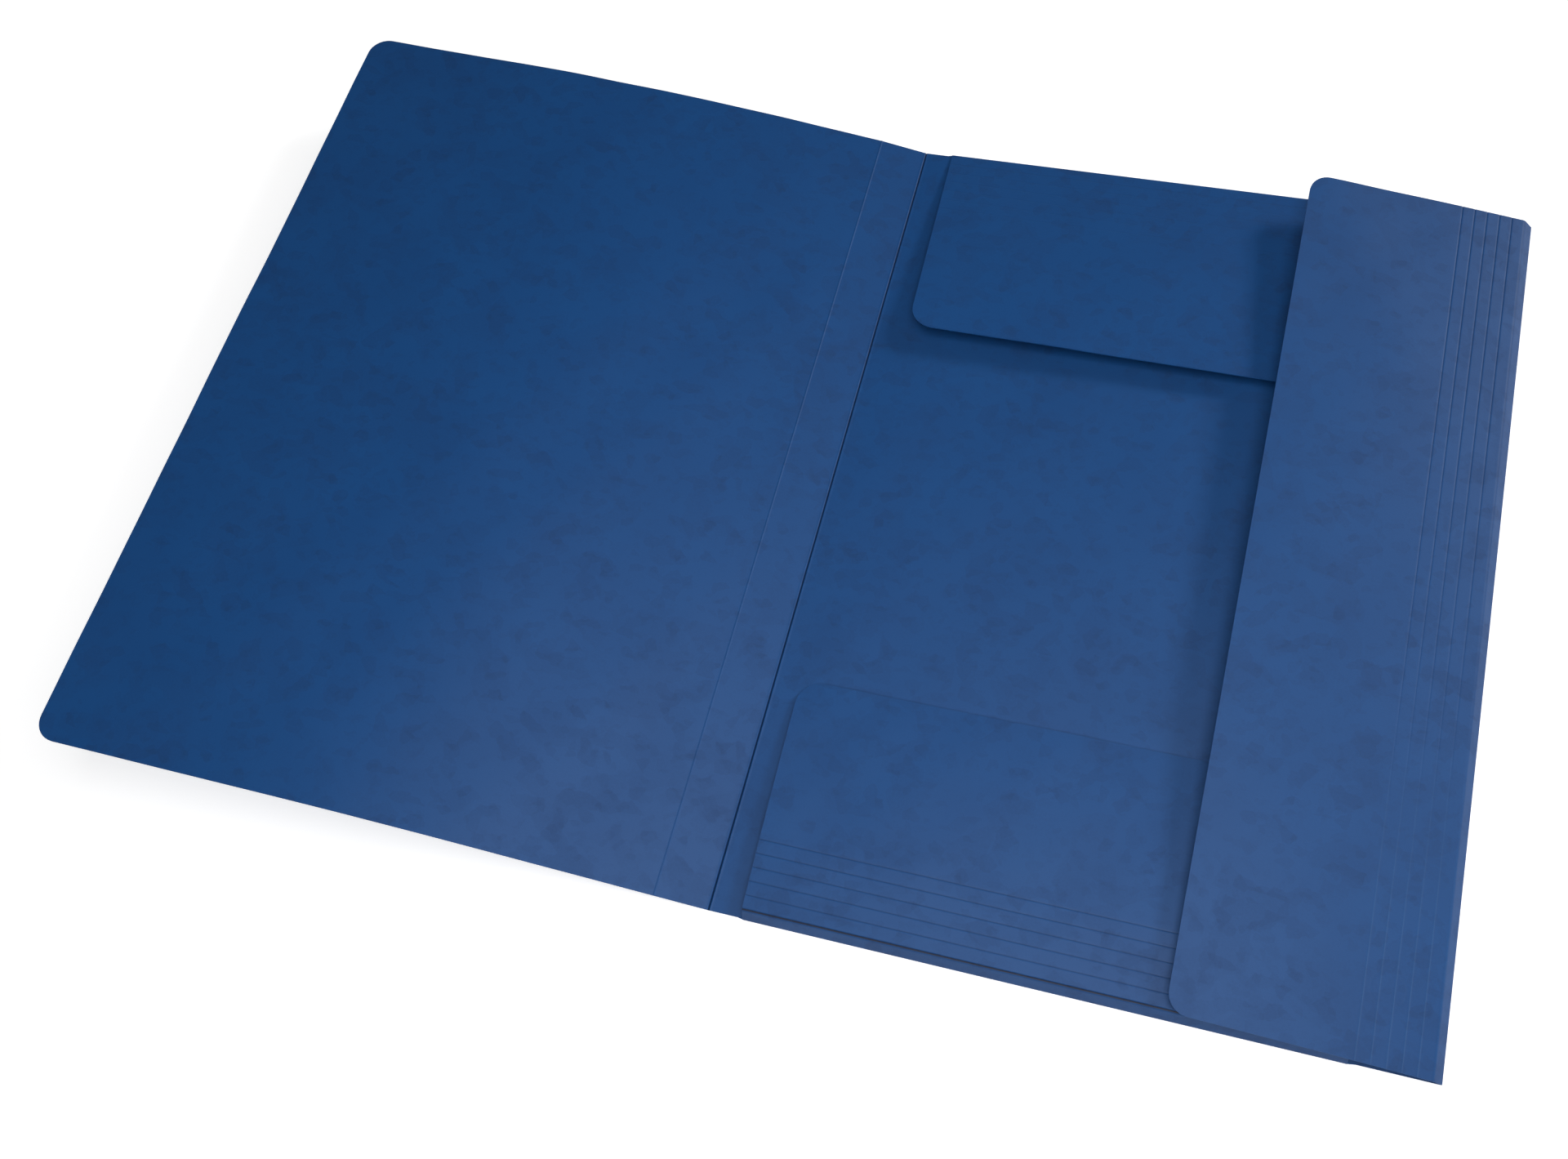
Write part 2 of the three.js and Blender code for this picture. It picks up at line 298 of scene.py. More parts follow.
print("steps along the sheet:", round(along_sheet[1] - along_sheet[0], 2), "mm")

# %% A board between two sections
def two_sections(origin, heading, slopes, distances, relief, inner_relief):
    """The near and far sections of a board that may be twisted, as inner and outer pairs."""
    return [section(origin, heading, slope, distances, relief, inner_relief) for slope in slopes]


def ruled_board(name, pairs, distances, sheet_start, sheet_heading, ends, freedom, painted_line_shade=0.0):
    """A board between its near and far sections.

    ends says how far its two ends are cut in at each distance, and freedom how much of the unevenness
    shows there.
    """
    near, far = pairs
    cut = ends(distances)
    share = np.linspace(0, 1, LENGTH_STEPS + 1)
    along = (-HALF_LENGTH + cut)[:, None] * (1 - share) + (HALF_LENGTH - cut)[:, None] * share
    across = np.broadcast_to((sheet_start + sheet_heading * distances)[:, None], along.shape)
    rise = unevenness(across, along) * freedom
    inner = lift(ruled(near[0], far[0], along), rise)
    outer = lift(ruled(near[1], far[1], along), rise)
    return board_object(name, inner, outer, np.stack([across, along], -1), painted_line_shade=painted_line_shade)


SPINE_DIRECTION = np.array([-math.cos(math.radians(SPINE_LIFT)), math.sin(math.radians(SPINE_LIFT))])
FRONT_CREASE = np.array(BACK_CREASE) + SPINE_WIDTH * SPINE_DIRECTION
SHEET_AT_BACK_CREASE = -PANEL_WIDTH / 2
SHEET_AT_FRONT_CREASE = -PANEL_WIDTH / 2 - SPINE_WIDTH
print("front crease, across and up:", FRONT_CREASE.round(2))

# %% [markdown]
# ## The cover
# The cover is a plain panel with two rounded corners. It bows up from the spine and ends almost level,
# more steeply at the near end than at the far one. A flat box with a Simple Deform modifier would bend
# it evenly, so it is drawn between two measured sections instead. It stops 2 mm short of its crease,
# where a narrow piece takes over.

# %% The cover
CREASE_REACH = 2.0
COVER_ROW_PITCH = 6.0
COVER_UNEVENNESS = 1.1


def cover_ends(distances):
    """How far the cover's rounded corners are cut in."""
    return corner_cut(distances, COVER_WIDTH, COVER_CORNER)


cover_straight = COVER_WIDTH - COVER_CORNER
cover_rows = close_rows(CREASE_REACH, cover_straight, COVER_ROW_PITCH, [])
cover_rows = np.concatenate([cover_rows, cover_straight + round_corner_rows(COVER_CORNER)])
unpressed = np.zeros(len(cover_rows))
cover_pairs = two_sections(FRONT_CREASE, -1, (cover_near, cover_far), cover_rows, unpressed, unpressed)
cover_freedom = COVER_UNEVENNESS * held_flat(cover_rows, CREASE_REACH)[:, None]
cover = ruled_board("cover", cover_pairs, cover_rows, SHEET_AT_FRONT_CREASE, -1, cover_ends, cover_freedom)
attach(cover, "front_cover")
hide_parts("front_cover")

# %% [markdown]
# ## The two creases of the spine
# The spine is a strip between two creases. The front crease was pressed from outside and shows inside as
# a fine pale ridge. The back one is a sharp groove with a raised lip on each side, dark with shadow, and a
# painted shade darkens its colour too. A bump texture could draw both, but they show in outline where the
# cover stands up, so they are geometry.
# Each crease is a narrow piece, and the two pieces meet in the spine's middle.

# %% Shapes pressed at a crease
RIDGE_HEIGHT, RIDGE_HALF_WIDTH, RIDGE_SHARPNESS = 0.13, 0.5, 1.2
GROOVE_DEPTH, GROOVE_HALF_WIDTH = 0.3, 0.28
LIP_HEIGHT, LIP_PLACE, LIP_WIDTH = 0.1, 0.6, 0.2
SHOW_THROUGH, CREASE_SHADE_FULLNESS = 0.5, 1.3
CREASE_STEPS = np.array([0.06, 0.14, 0.24, 0.36, 0.5, 0.62, 0.8, 1.1, 1.5])


def fine_ridge(rows):
    """Height of the ridge that stands on the inner face of the front crease."""
    return RIDGE_HEIGHT * (1 - np.clip(rows / RIDGE_HALF_WIDTH, 0, 1)) ** RIDGE_SHARPNESS


def sharp_groove(rows):
    """Height of the inner face at the back crease: a groove with a lip beside it."""
    lip = LIP_HEIGHT * np.exp(-((rows - LIP_PLACE) / LIP_WIDTH) ** 2)
    return lip - GROOVE_DEPTH * np.clip(1 - rows / GROOVE_HALF_WIDTH, 0, 1)


def crease_side(origin, heading, slopes, last, shape, middle):
    """The near and far sections on one side of a crease, from its middle or just beside it, and their rows."""
    rows = np.unique(np.concatenate([CREASE_STEPS[CREASE_STEPS < last], [last]]))
    if middle:
        rows = np.concatenate([[0.0], rows])
    height = shape(rows)
    return two_sections(origin, heading, slopes, rows, -SHOW_THROUGH * height, height), rows


def crease_piece(name, left, right, sheet_middle, darkest):
    """A narrow board that goes from one side of a crease to the other."""
    (left_pairs, left_rows), (right_pairs, right_rows) = left, right
    grids = []
    for face in range(2):
        near, far = [np.concatenate([left_pairs[end][face][::-1], right_pairs[end][face]]) for end in range(2)]
        grids.append(ruled(near, far, np.broadcast_to(along_sheet, (len(near), len(along_sheet)))))
    across = sheet_middle + np.concatenate([-left_rows[::-1], right_rows])
    sheet = np.stack(np.broadcast_arrays(across[:, None], along_sheet[None, :]), -1)
    # Painted shade darkens the colour along the crease's groove, most along its middle.
    line = np.clip(CREASE_SHADE_FULLNESS - np.abs(across - sheet_middle) / GROOVE_HALF_WIDTH, 0, 1)
    return board_object(name, grids[0], grids[1], sheet, painted_line_shade=darkest * line[:, None])


print("ridge", fine_ridge(0.0), "mm high, groove", -sharp_groove(0.0).round(2), "mm deep")

# %% The back crease, between the panel and the spine
# How dark the painted shade in each crease is; the front crease gets none.
BACK_CREASE_SHADE = 0.8
flat_panel, spine_rises = (steady(0.0),) * 2, (steady(SPINE_LIFT),) * 2
panel_side = crease_side(BACK_CREASE, 1, flat_panel, CREASE_REACH, sharp_groove, middle=False)
spine_side = crease_side(BACK_CREASE, -1, spine_rises, SPINE_WIDTH / 2, sharp_groove, middle=True)
back_crease = crease_piece("back_crease", spine_side, panel_side, SHEET_AT_BACK_CREASE, BACK_CREASE_SHADE)
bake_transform(back_crease)
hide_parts("spine")

# %% The front crease, between the spine and the cover
FRONT_CREASE_SHADE = 0.0
spine_falls = (steady(-SPINE_LIFT),) * 2
spine_side = crease_side(FRONT_CREASE, 1, spine_falls, SPINE_WIDTH / 2, fine_ridge, middle=False)
cover_side = crease_side(FRONT_CREASE, -1, (cover_near, cover_far), CREASE_REACH, fine_ridge, middle=True)
front_crease = crease_piece("front_crease", cover_side, spine_side, SHEET_AT_FRONT_CREASE, FRONT_CREASE_SHADE)
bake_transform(front_crease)

# %% [markdown]
# ## The folded sheet: back panel, top flap and bottom flap
# The panel and its two end flaps are one sheet that folds at each end. They could be three boards set
# edge to edge, but a fold in board is round outside and nearly sharp inside, and only one mesh that
# follows the paper round it looks folded. The flaps have no joint of their own, so one mesh can serve.
# At the bottom the board folds twice, at the panel's end and at the first score, and the narrow strip
# between the two folds stands up.

# %% Paths round the folds
FLAP_DEPTH, FLAP_CORNER, FLAP_ROW_PITCH = 88.0, 9.0, 5.0
BOTTOM_STRIP_LEAN = 57.0
BOTTOM_TURN, BOTTOM_EDGE_TURN = 181.0, 183.8
TOP_LEFT_TURN, TOP_RIGHT_TURN = 174.4, 176.2
LEAD = CREASE_REACH


def folding(*turns):
    """A slope that starts level and turns at each fold: (distance, new slope, how it goes on from there)."""
    def slope(distance):
        angle, last = np.zeros_like(distance), 0.0
        for place, turned, onward in turns:
            half_arc = FOLD_RADIUS * math.radians(turned - last) / 2
            share = np.clip((distance - place + half_arc) / (2 * half_arc), 0, 1)
            goes_on = onward(np.maximum(distance - place, 0)) if onward else turned
            angle = angle * (1 - share) + goes_on * share
            last = turned
        return angle
    return slope


bottom_fall = easing(BOTTOM_TURN, BOTTOM_EDGE_TURN, 0, FLAP_DEPTH)
bottom_path = folding((LEAD, 180 - BOTTOM_STRIP_LEAN, None), (LEAD + SCORE_PITCH, BOTTOM_TURN, bottom_fall))
top_left_path = folding((LEAD, TOP_LEFT_TURN, None))
top_right_path = folding((LEAD, TOP_RIGHT_TURN, None))
print("bottom flap's slope at its free edge:", bottom_path(np.array([LEAD + FLAP_DEPTH])).round(1))

# %% Rows along a flap, close at its fold and scores and round its free corners
FOLD_STEPS = LEAD + np.array([-0.5, -0.3, -0.22, -0.14, -0.07, 0, 0.07, 0.14, 0.22, 0.3, 0.5])
FOLD_CLEARANCE = 0.6
scores = [LEAD + SCORE_PITCH * (i + 1) for i in range(SCORE_COUNT)]
flap_straight = LEAD + FLAP_DEPTH - FLAP_CORNER
flap_rows = close_rows(0.0, flap_straight, FLAP_ROW_PITCH, scores)
flap_rows = flap_rows[np.abs(flap_rows - LEAD) > FOLD_CLEARANCE]
flap_rows = np.concatenate([flap_rows, FOLD_STEPS, flap_straight + round_corner_rows(FLAP_CORNER)])
flap_rows = np.unique(np.round(flap_rows, 5))
print("rows along a flap:", len(flap_rows), "scores at", np.round(scores, 1))

# %% Sections of the two flaps, pressed at their scores
FOLD_GROOVE_HALF_WIDTH, SCORE_HALF_WIDTH = 0.45, 0.4
BOTTOM_FOLD_GROOVE, BOTTOM_SCORE_GROOVE, TOP_SCORE_GROOVE = 0.4, 0.1, 0.03
LEVEL_END = HALF_LENGTH - LEAD

bottom_relief = pressed(flap_rows, scores[:1], BOTTOM_FOLD_GROOVE, FOLD_GROOVE_HALF_WIDTH)
bottom_relief += pressed(flap_rows, scores[1:], BOTTOM_SCORE_GROOVE, SCORE_HALF_WIDTH)
top_relief = pressed(flap_rows, scores, TOP_SCORE_GROOVE, SCORE_HALF_WIDTH)
bottom_ridge, top_ridge = -SHOW_THROUGH * bottom_relief, -SHOW_THROUGH * top_relief
bottom_section = section((-LEVEL_END, BOARD), -1, bottom_path, flap_rows, bottom_relief, bottom_ridge)
top_left_section = section((LEVEL_END, BOARD), 1, top_left_path, flap_rows, top_relief, top_ridge)
top_right_section = section((LEVEL_END, BOARD), 1, top_right_path, flap_rows, top_relief, top_ridge)
print("free edges, along and up:", bottom_section[0][-1].round(1), top_left_section[0][-1].round(1))

# %% Where the eyelets' holes and the panel's rows are
EYELET_PLACES = ((100.5, -136.0), (100.5, 136.0))
HOLE_HALF, HOLE_CLEARANCE = 3.2, 2.5
HOLE_X = (EYELET_PLACES[0][0] - HOLE_HALF, EYELET_PLACES[0][0] + HOLE_HALF)
PANEL_STEPS = 48

hole_rows = [y + side * HOLE_HALF for _, y in EYELET_PLACES for side in (-1, 1)]
panel_rows = [
    y for y in np.linspace(-LEVEL_END, LEVEL_END, PANEL_STEPS + 1)[1:-1]
    if min(abs(y - hole) for hole in hole_rows) > HOLE_CLEARANCE
]
panel_rows = np.array(sorted(panel_rows + hole_rows))
sheet_y = np.concatenate([(-LEVEL_END - flap_rows)[::-1], panel_rows, LEVEL_END + flap_rows])
print("rows of the whole sheet:", len(sheet_y))

# %% Columns across the sheet, with the flaps' ends among them
LEFT_COLUMNS, FLAP_COLUMNS, RIGHT_COLUMNS = 5, 56, 5
FLAP_RIGHT = PANEL_WIDTH / 2 - 28.0
PANEL_LEFT, PANEL_RIGHT = -PANEL_WIDTH / 2 + CREASE_REACH, PANEL_WIDTH / 2 - CREASE_REACH
# A flap's left end at its fold and at its free edge.
BOTTOM_LEFT = (-PANEL_WIDTH / 2 + 12.6, -PANEL_WIDTH / 2 + 9.9)
TOP_LEFT = (-PANEL_WIDTH / 2 + 11.2, -PANEL_WIDTH / 2 + 14.6)


def flap_ends(left):
    """Where a flap's left and right ends are at each row, with its free corners rounded."""
    share = np.clip((flap_rows - LEAD) / FLAP_DEPTH, 0, 1)
    cut = corner_cut(flap_rows - LEAD, FLAP_DEPTH, FLAP_CORNER)
    return left[0] + (left[1] - left[0]) * share + cut, FLAP_RIGHT - cut


def columns_of(left, right):
    """Places across the sheet in one row, with the flap's columns between left and right."""
    before = np.linspace(PANEL_LEFT, left, LEFT_COLUMNS + 1)[:-1]
    between = np.linspace(left, right, FLAP_COLUMNS + 1)
    past_hole = np.linspace(HOLE_X[1], PANEL_RIGHT, RIGHT_COLUMNS)
    return np.concatenate([before, between, [(right + HOLE_X[0]) / 2, HOLE_X[0]], past_hole])


(bottom_low, bottom_high), (top_low, top_high) = flap_ends(BOTTOM_LEFT), flap_ends(TOP_LEFT)
panel_low = BOTTOM_LEFT[0] + (TOP_LEFT[0] - BOTTOM_LEFT[0]) * (panel_rows + HALF_LENGTH) / PANEL_LENGTH
lows = np.concatenate([bottom_low[::-1], panel_low, top_low])
highs = np.concatenate([bottom_high[::-1], np.full(len(panel_rows), FLAP_RIGHT), top_high])
across = np.array([columns_of(low, high) for low, high in zip(lows, highs)])
sheet_places = np.stack([across, np.broadcast_to(sheet_y[:, None], across.shape)], -1)
print("grid of the sheet:", across.shape)

# %% How far each point of the sheet stands off its path
FLAP_EASE, PANEL_EASE = 30.0, 20.0
BOTTOM_UNEVENNESS, PANEL_UNEVENNESS, TOP_UNEVENNESS = 1.1, 0.5, 0.9

wave = unevenness(across, sheet_places[..., 1])
flap_count = len(flap_rows)
bottom_part, panel_part, top_part = wave[:flap_count], wave[flap_count:-flap_count], wave[-flap_count:]
bottom_free = held_flat(flap_rows, LEAD + SCORE_PITCH, FLAP_EASE)[::-1, None]
top_free = held_flat(flap_rows, LEAD + 1.0, FLAP_EASE)[:, None]
ends_free = held_flat(panel_rows + LEVEL_END, 0.0, PANEL_EASE)
ends_free = np.minimum(ends_free, held_flat(LEVEL_END - panel_rows, 0.0, PANEL_EASE))[:, None]
sides_free = held_flat(across - PANEL_LEFT, 0.0, PANEL_EASE) * held_flat(PANEL_RIGHT - across, 0.0, PANEL_EASE)
rise = np.concatenate([
    BOTTOM_UNEVENNESS * bottom_free * (bottom_part + WAVE_HEIGHT),
    PANEL_UNEVENNESS * ends_free * (panel_part + WAVE_HEIGHT) * sides_free[flap_count:-flap_count],
    TOP_UNEVENNESS * top_free * top_part,
])
print(f"the sheet stands off its path by {rise.min():.2f} to {rise.max():.2f} mm")

# %% The sheet's inner and outer points
level_inner = np.column_stack([panel_rows, np.full(len(panel_rows), BOARD)])
level_outer = np.column_stack([panel_rows, np.zeros(len(panel_rows))])
share_x = np.clip((across - TOP_LEFT[0]) / (FLAP_RIGHT - TOP_LEFT[0]), 0, 1)[..., None]
beyond_flap = np.r_[0:LEFT_COLUMNS, LEFT_COLUMNS + FLAP_COLUMNS + 1:across.shape[1]]
in_fold = np.where((np.abs(sheet_y) > LEVEL_END) & (np.abs(sheet_y) < HALF_LENGTH + 0.01))[0]

grids = []
for face, level in enumerate((level_inner, level_outer)):
    left_end, right_end = [
        np.concatenate([bottom_section[face][::-1], level, top[face]])[:, None, :]
        for top in (top_left_section, top_right_section)
    ]
    place = left_end * (1 - share_x) + right_end * share_x
    grid = lift(np.stack([across, place[..., 0], place[..., 1]], -1), rise)
    for row in in_fold:
        # Beside a flap the panel runs level to its cut end.
        grid[row, beyond_flap, 1], grid[row, beyond_flap, 2] = sheet_y[row], level[0, 1]
    grids.append(grid)
print("rows in the folds:", len(in_fold))

# %% Cells of the sheet: none beside the flaps, and none in the eyelets' holes
row_total, column_total = across.shape
past_fold = int(np.sum(flap_rows > LEAD))
cells = np.ones((row_total - 1, column_total - 1), bool)
for flap_cells in (cells[:past_fold], cells[row_total - 1 - past_fold:]):
    flap_cells[:, :LEFT_COLUMNS] = False
    flap_cells[:, LEFT_COLUMNS + FLAP_COLUMNS:] = False
middles_x = (across[1:, 1:] + across[:-1, :-1]) / 2
middles_y = ((sheet_y[1:] + sheet_y[:-1]) / 2)[:, None]
for x, y in EYELET_PLACES:
    cells[(np.abs(middles_x - x) < HOLE_HALF) & (np.abs(middles_y - y) < HOLE_HALF)] = False
print("cells left out:", int(np.sum(~cells)), "of", cells.size)

# %% The folded sheet, with its scores marked
# How dark the painted shade is on the fold's own score and on the other scores, and half the width of a line in
# mm.
BOTTOM_LINE_SHADE, TOP_LINE_SHADE = (1.0, 0.3, 0.24), (0.1, 0.04, 0.3)
LINE_SHADE_FULLNESS = 1.25


def painted_shade_of_lines(rows, places, fold_shade, other_line_shade, half_width):
    """How dark the painted shade of a line is at each row: the fold's own score first, then the others."""
    row_shade = np.zeros(len(rows))
    for i, place in enumerate(places):
        line = np.clip(LINE_SHADE_FULLNESS - np.abs(rows - place) / half_width, 0, 1)
        row_shade = np.maximum(row_shade, (other_line_shade if i else fold_shade) * line)
    return row_shade


bottom_line_shade = painted_shade_of_lines(flap_rows, scores, *BOTTOM_LINE_SHADE)[::-1]
top_line_shade = painted_shade_of_lines(flap_rows, scores, *TOP_LINE_SHADE)
sheet_line_shade = np.concatenate([bottom_line_shade, np.zeros(len(panel_rows)), top_line_shade])[:, None]
folded_sheet = board_object("folded_back_sheet", grids[0], grids[1], sheet_places, cells, sheet_line_shade)
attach(folded_sheet, "back_panel")
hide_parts("back_panel", "top_flap", "bottom_flap")

# %% [markdown]
# ## The side flap
# The side flap folds up from the panel's edge, and over at the first of its six scores. It lifts more at
# the far end than at the near one. One section swept along the edge would keep it straight, so the board
# is drawn between a near and a far section, which twists it. The fold at the panel's edge is a piece of
# its own. The scores are darkened with painted shade at the far end, and painted paler near by.

# %% Sections of the side flap
SIDE_DEPTH, SIDE_TAPER, SIDE_CORNER, SIDE_STRIP_LEAN = 87.2, 1.4, 7.0, 48.0
SIDE_NEAR_TURN, SIDE_NEAR_EDGE_TURN = 173.5, 180.0
SIDE_FAR_TURN, SIDE_FAR_EDGE_TURN = 169.5, 171.5
SIDE_FOLD_GROOVE, SIDE_SCORE_GROOVE, SIDE_SCORE_HALF_WIDTH = 0.14, 0.15, 0.42
SIDE_NEAR_PRESS = 0.3
side_strip_turn = (LEAD, 180 - SIDE_STRIP_LEAN, None)


def side_path(turn, edge_turn):
    """The side flap's slope: up at its crease, over at its first score and easing to its free edge."""
    return folding(side_strip_turn, (LEAD + SCORE_PITCH, turn, easing(turn, edge_turn, 0, SIDE_DEPTH)))


side_near = side_path(SIDE_NEAR_TURN, SIDE_NEAR_EDGE_TURN)
side_far = side_path(SIDE_FAR_TURN, SIDE_FAR_EDGE_TURN)


def side_sections(rows):
    """Near and far sections of the side flap's sheet. Its scores are pressed harder at the far end."""
    relief = pressed(rows, scores[:1], SIDE_FOLD_GROOVE, FOLD_GROOVE_HALF_WIDTH)
    relief += pressed(rows, scores[1:], SIDE_SCORE_GROOVE, SIDE_SCORE_HALF_WIDTH)
    pairs = []
    for path, near_relief in ((side_near, SIDE_NEAR_PRESS * relief), (side_far, relief)):
        ridge = -SHOW_THROUGH * near_relief
        pairs.append(section((PANEL_RIGHT, BOARD), 1, path, rows, near_relief, ridge))
    return pairs


def side_ends(rows):
    """How far the side flap's ends are cut in at each row."""
    distance, depth = np.maximum(rows - LEAD - SCORE_PITCH, 0), SIDE_DEPTH - SCORE_PITCH
    return SIDE_TAPER * distance / depth + corner_cut(distance, depth, SIDE_CORNER)


free_edge = np.array([0.0, LEAD + SIDE_DEPTH])
print("free edge, near and far:", [pair[0][-1].round(1).tolist() for pair in side_sections(free_edge)])

# %% The fold at the panel's edge
SIDE_SEAM = LEAD + SCORE_PITCH / 2
side_fold_rows = np.concatenate([[0.0, 0.7, 1.2], FOLD_STEPS, [LEAD + 0.9, LEAD + 1.5, SIDE_SEAM]])
side_fold_rows = np.unique(side_fold_rows)
side_fold = ruled_board(
    "side_fold", side_sections(side_fold_rows), side_fold_rows, PANEL_RIGHT, 1, side_ends, 0.0,
)
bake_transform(side_fold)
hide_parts("side_fold_strip")

# %% The side flap's board
# How dark the painted shade is on the side flap's fold score and on its other scores, and half a line's width.
SIDE_LINE_SHADE = (0.15, 0.3, 0.22)
SIDE_ROW_PITCH, SIDE_EASE = 5.0, 40.0
# The painted shade on the side flap's scores grows towards its far end.
DARK_FROM, DARK_OVER = -60.0, 140.0
# Towards the near end, the score lines are painted paler than the board by a share.
PALE_FROM, PALE_OVER, PALE_SHARE = -50.0, 70.0, 0.35

side_straight = LEAD + SIDE_DEPTH - SIDE_CORNER
side_rows = close_rows(SIDE_SEAM, side_straight, SIDE_ROW_PITCH, scores)
side_rows = np.unique(np.concatenate([side_rows, side_straight + round_corner_rows(SIDE_CORNER)]))
side_freedom = held_flat(side_rows, LEAD + 3 * SCORE_PITCH, SIDE_EASE)[:, None]
dark_far_end = np.clip((along_sheet - DARK_FROM) / DARK_OVER, 0, 1)
pale_near_end = PALE_SHARE * np.clip((PALE_FROM - along_sheet) / PALE_OVER, 0, 1)
side_line_shade = painted_shade_of_lines(side_rows, scores, *SIDE_LINE_SHADE)[:, None] * (dark_far_end - pale_near_end)
side_flap = ruled_board(
    "side_flap_board", side_sections(side_rows), side_rows, PANEL_RIGHT, 1, side_ends, side_freedom, side_line_shade,
)
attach(side_flap, "side_flap")
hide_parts("side_flap")

# %% [markdown]
# ## The eyelets
# An eyelet is a short metal tube with a flange, set through the board from below and rolled over above.
# It could be a torus and a few cylinders, but those would meet in hard lines. It is a turned shape, so
# one closed profile spun about its axis draws flange, tube and rolled bead as one skin.

# %% An eyelet's profile, as radius and height
EYELET_BORE, EYELET_WALL, EYELET_FLANGE, FLANGE_THICKNESS = 2.6, 0.5, 5.5, 0.2
FLANGE_ROUND, FLANGE_MIDDLE = 0.1, 0.08
BEAD_MIDDLE, BEAD_HALF_WIDTH, BEAD_HEIGHT, BEAD_FOOT = EYELET_FLANGE - 1.4, 1.15, 0.36, BOARD + 0.02
BORE_STEPS = [(EYELET_BORE, BOARD - 0.1), (EYELET_BORE, 0.15), (EYELET_BORE + 0.12, -0.02)]

flange_rim = [
    (EYELET_FLANGE - FLANGE_ROUND + FLANGE_ROUND * math.cos(a), FLANGE_MIDDLE + FLANGE_ROUND * math.sin(a))
    for a in np.radians([-90, -45, 0, 45, 90])
]
bead = [
    (BEAD_MIDDLE + BEAD_HALF_WIDTH * math.cos(a), BEAD_FOOT + BEAD_HEIGHT * math.sin(a))
    for a in np.radians(np.linspace(0, 180, 13))
]
tube_radius = EYELET_BORE + EYELET_WALL
tube = [(tube_radius, FLANGE_THICKNESS), (tube_radius, BOARD), (bead[0][0] - 0.1, BOARD)]
eyelet_profile = flange_rim + tube + bead + BORE_STEPS
print("points of the profile:", len(eyelet_profile))

# %% Turn the eyelets
SPIN_STEPS = 64
EYELET_SHARP_EDGE = math.radians(50)


def eyelet(name, x, y):
    """The profile spun about an upright axis at a place on the panel."""
    count = len(eyelet_profile)
    points, faces = [], []
    for i in range(SPIN_STEPS):
        angle = 2 * math.pi * i / SPIN_STEPS
        for radius, height in eyelet_profile:
            points.append(((x + radius * math.cos(angle)) * MM, (y + radius * math.sin(angle)) * MM, height * MM))
        for j in range(count):
            k, n = (j + 1) % count, (i + 1) % SPIN_STEPS
            faces.append((i * count + j, n * count + j, n * count + k, i * count + k))
    mesh = bpy.data.meshes.new(name)
    mesh.from_pydata(points, [], faces)
    mesh.shade_smooth()
    mesh.set_sharp_from_angle(angle=EYELET_SHARP_EDGE)
    ring = bpy.data.objects.new(name, mesh)
    bpy.context.scene.collection.objects.link(ring)
    return ring


rings = []
for name, place in zip(("lower_eyelet", "upper_eyelet"), EYELET_PLACES):
    ring = eyelet(name + "_ring", *place)
    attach(ring, "back_panel")
    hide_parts(name)
    rings.append(ring)
print("eyelets:", [ring.name for ring in rings])

# %% [markdown]
# ## Colours and nodes
# Colours are picked as they look on a screen, as sRGB hex values, but Blender's shaders count in linear
# light. They could be typed in as linear numbers, but nobody can read those, so one function turns them.
# One more adds a node with its settings and links, which keeps each material short.

# %% Helpers for materials
def linear(hex_colour):
    """An sRGB hex colour as linear red, green, blue and alpha."""
    channels = [int(hex_colour[i:i + 2], 16) / 255 for i in (1, 3, 5)]
    return [c / 12.92 if c <= 0.04045 else ((c + 0.055) / 1.055) ** 2.4 for c in channels] + [1.0]


def add_node(tree, kind, inputs=None, **settings):
    """Adds a node, sets its settings, and sets or links its inputs."""
    made = tree.nodes.new(kind)
    for setting, value in settings.items():
        setattr(made, setting, value)
    for socket, value in (inputs or {}).items():
        if isinstance(value, bpy.types.NodeSocket):
            tree.links.new(value, made.inputs[socket])
        else:
            made.inputs[socket].default_value = value
    return made


def new_material(name):
    """An empty node material and its tree."""
    material = bpy.data.materials.new(name)
    material.use_nodes = True
    material.node_tree.nodes.clear()
    return material, material.node_tree


print("mid grey in linear light:", round(linear("#808080")[0], 3))

# %% [markdown]
# ## Glazed pressboard
# Pressboard is many thin layers of dyed pulp, pressed together and glazed between hot rollers. That gives
# the eye a deep even blue, with darker flecks where flakes of pulp took more dye, cloudy patches as wide
# as a thumb, a soft sheen and a very fine tooth. The flecks could be plain noise, but real ones have
# edges, so they are flat cells of a Voronoi texture whose outlines a fine noise has torn.

# %% The sizes of the pattern, in mm on the flat sheet
# Width of a fleck, its turn in degrees, how rare it is, and how strongly it shows.
FLECKS = ((5.2, 25.0, 0.6, 0.34), (2.8, -40.0, 0.66, 0.26), (11.0, 10.0, 0.5, 0.22))
FLECK_STRETCH, FLECK_EDGE, FLECK_SOFTNESS = 1.25, 0.3, 0.25
TEAR_SIZE, TEAR_REACH = 3.0, 2.2
CLOUD_SIZE, CLOUD_SHARE = 34.0, 0.45
GRAIN_SIZE, GRAIN_SHARE = 0.9, 0.12
# The real tooth is about 0.1 mm. It is drawn three times as coarse, so that it shows in the picture.
TOOTH_SIZE, TOOTH_HEIGHT = 0.35, 0.04
FLECK_HEIGHT = 0.05
# The side flap has been pressed against the lower eyelet, which left a faint ring in it.
IMPRINT_PLACE, IMPRINT_RADIUS, IMPRINT_WIDTH, IMPRINT_HEIGHT = (141.2, -136.0, 0.0), 5.7, 0.7, 0.06
# The pressed colour is painted shade for creases and score lines, and the last colour makes some score lines
# paler.
GLAZED_BLUES = {
    "pulp": "#0A4A88", "cloud": "#0D5090", "fleck": "#093F77", "pressed": "#011434", "pale_line": "#5C8CC0",
}
